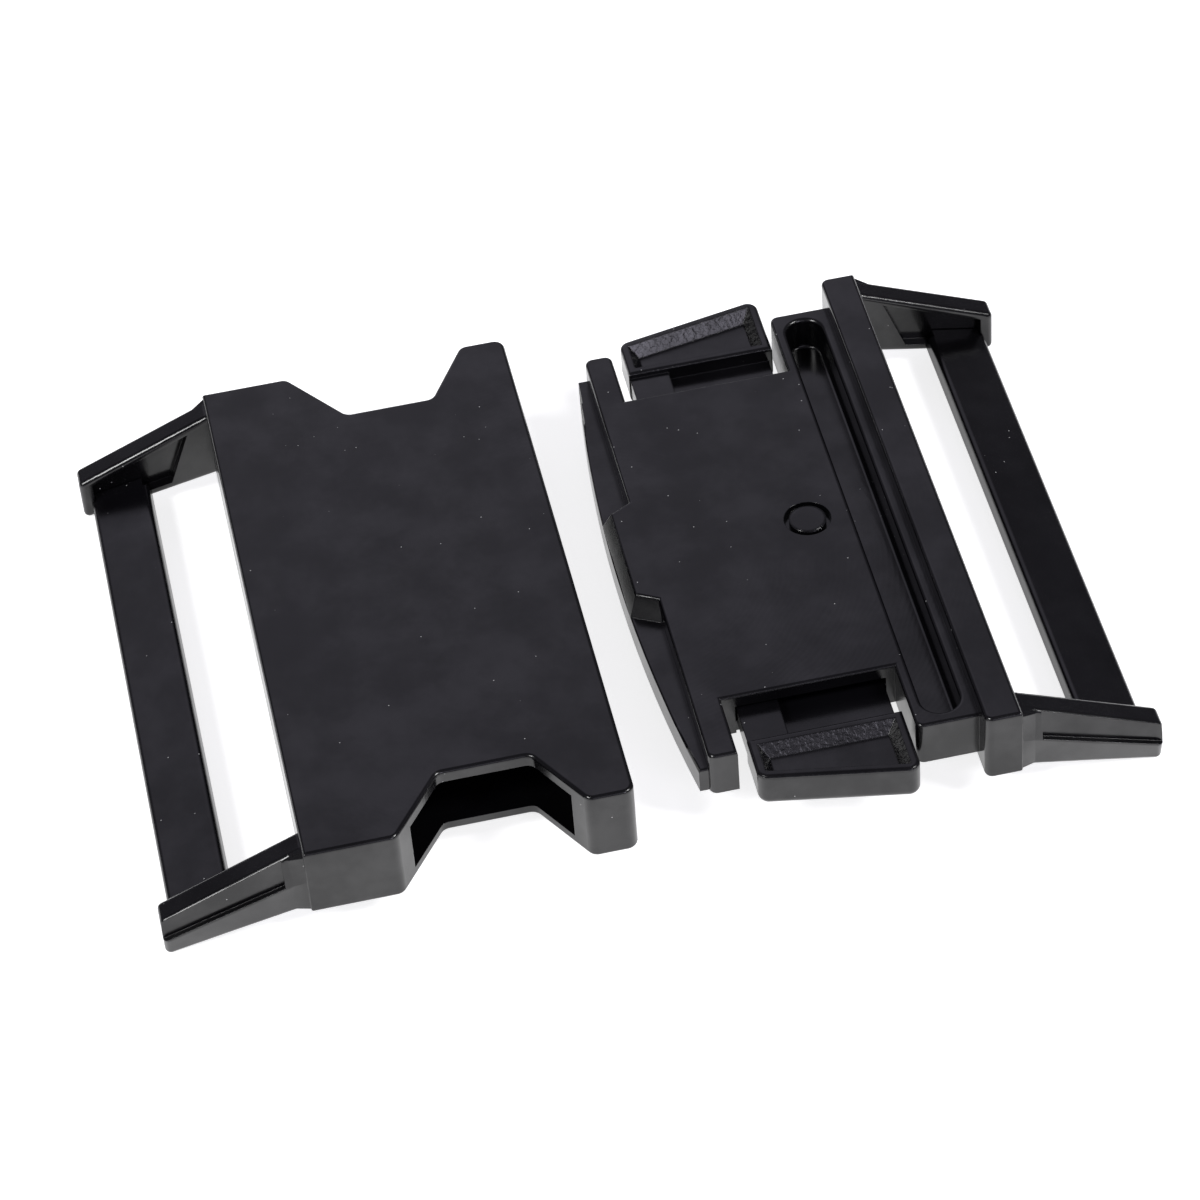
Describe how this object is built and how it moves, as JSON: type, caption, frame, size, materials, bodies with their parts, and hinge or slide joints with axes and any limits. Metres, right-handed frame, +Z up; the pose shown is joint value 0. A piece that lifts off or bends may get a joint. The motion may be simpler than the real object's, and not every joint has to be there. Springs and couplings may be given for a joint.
{
  "type": "side-release webbing buckle",
  "caption": "Side-release buckle for wide webbing: a hollow socket half and a plug half with sprung press buttons, each with a webbing bar on two sloping arms.",
  "frame": {"origin": "middle of the base, between the four arm tips that stand on the table", "axes": "+X along the insertion axis from the socket to the plug, +Y across the webbing, +Z up"},
  "size_m": [0.0862, 0.0612, 0.0097],
  "materials": {
    "casting_coat": "semi-gloss black",
    "bar_coat": "semi-gloss black",
    "button_coat": "semi-gloss black",
    "cover_coat": "satin black",
    "rivet_coat": "semi-gloss black",
    "spring_steel": "drawn wire"
  },
  "bodies": {
    "socket": {"socket_body": "casting_coat"},
    "socket_bar": {"socket_bar": "bar_coat"},
    "plug": {"plug_body": "casting_coat", "plug_cover": "cover_coat", "cover_rivet": "rivet_coat", "left_spring": "spring_steel", "right_spring": "spring_steel"},
    "plug_bar": {"plug_bar": "bar_coat"},
    "left_button": {"left_button": "button_coat"},
    "right_button": {"right_button": "button_coat"}
  },
  "joints": [
    {"name": "plug_insertion", "type": "slide", "parent": "socket", "child": "plug", "axis": [-1, 0, 0], "range_m": [0, 0.0104]},
    {"name": "left_button_press", "type": "slide", "parent": "plug", "child": "left_button", "axis": [0, -1, 0], "range_m": [0, 0.0038], "stiffness_N_per_m": 600, "springref_m": -0.003, "deforming": ["left_spring"]},
    {"name": "right_button_press", "type": "slide", "parent": "plug", "child": "right_button", "axis": [0, 1, 0], "range_m": [0, 0.0038], "stiffness_N_per_m": 600, "springref_m": -0.003, "deforming": ["right_spring"]},
    {"name": "socket_bar_float", "type": "slide", "parent": "socket", "child": "socket_bar", "axis": [0.979, 0, 0.2036], "range_m": [0, 0.0014]},
    {"name": "plug_bar_float", "type": "slide", "parent": "plug", "child": "plug_bar", "axis": [-0.979, 0, 0.2036], "range_m": [0, 0.0014]}
  ]
}
